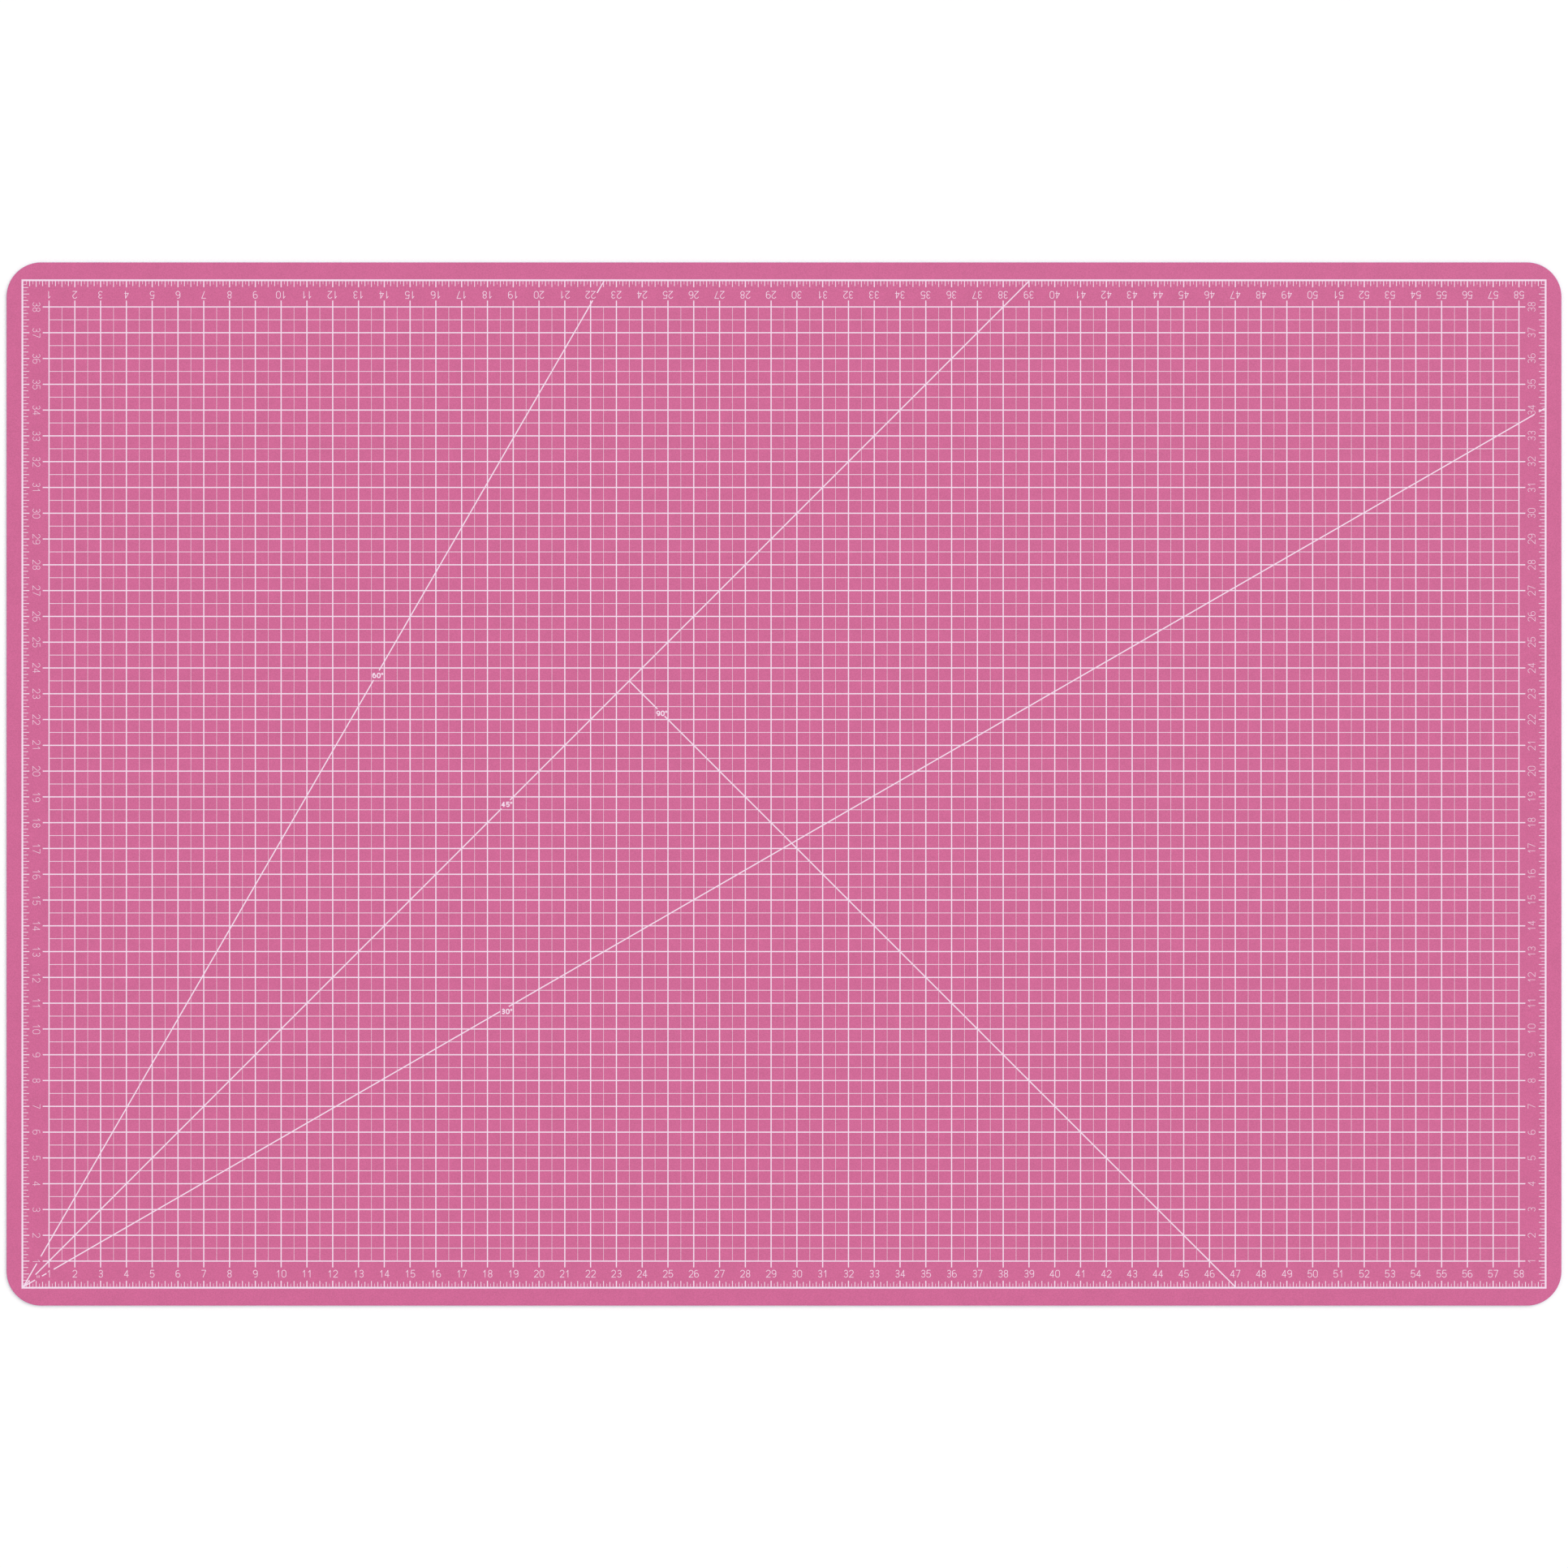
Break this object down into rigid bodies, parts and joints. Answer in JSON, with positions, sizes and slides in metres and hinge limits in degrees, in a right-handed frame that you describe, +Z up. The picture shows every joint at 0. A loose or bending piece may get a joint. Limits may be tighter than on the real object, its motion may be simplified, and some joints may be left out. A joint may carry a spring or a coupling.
{
  "type": "self healing cutting mat",
  "caption": "Large thin two-sided cutting mat, a bonded five-sheet laminate printed on both faces with an inch ruler, a half-inch grid and angle guides.",
  "frame": {"origin": "centre of the underside, the blue face that lies on the table", "axes": "+X along the long side, in the direction the numbers rise; +Y along the short side, up the pink face; +Z up, out of the pink face"},
  "size_m": [1.5316, 1.0276, 0.0031],
  "materials": {
    "pink_skin": "matte PVC with a fine stipple",
    "blue_skin": "matte PVC with a fine stipple",
    "pink_healing": "soft self-healing PVC, trimmed edge",
    "blue_healing": "soft self-healing PVC, trimmed edge",
    "core": "hard cream PVC, trimmed edge",
    "pink_side_ink": "thin satin screen-printed ink",
    "blue_side_ink": "thin satin screen-printed ink"
  },
  "bodies": {
    "root": {"blue_cutting_skin": "blue_skin", "blue_side_healing_layer": "blue_healing", "centre_core_sheet": "core", "pink_side_healing_layer": "pink_healing", "pink_cutting_skin": "pink_skin", "pink_print_border": "pink_side_ink", "pink_print_ruler_marks": "pink_side_ink", "pink_print_numerals": "pink_side_ink", "pink_print_inch_lines": "pink_side_ink", "pink_print_half_inch_lines": "pink_side_ink", "pink_print_angle_lines": "pink_side_ink", "pink_print_angle_labels": "pink_side_ink", "blue_print_border": "blue_side_ink", "blue_print_ruler_marks": "blue_side_ink", "blue_print_numerals": "blue_side_ink", "blue_print_inch_lines": "blue_side_ink", "blue_print_half_inch_lines": "blue_side_ink", "blue_print_angle_lines": "blue_side_ink", "blue_print_angle_labels": "blue_side_ink"}
  },
  "joints": []
}
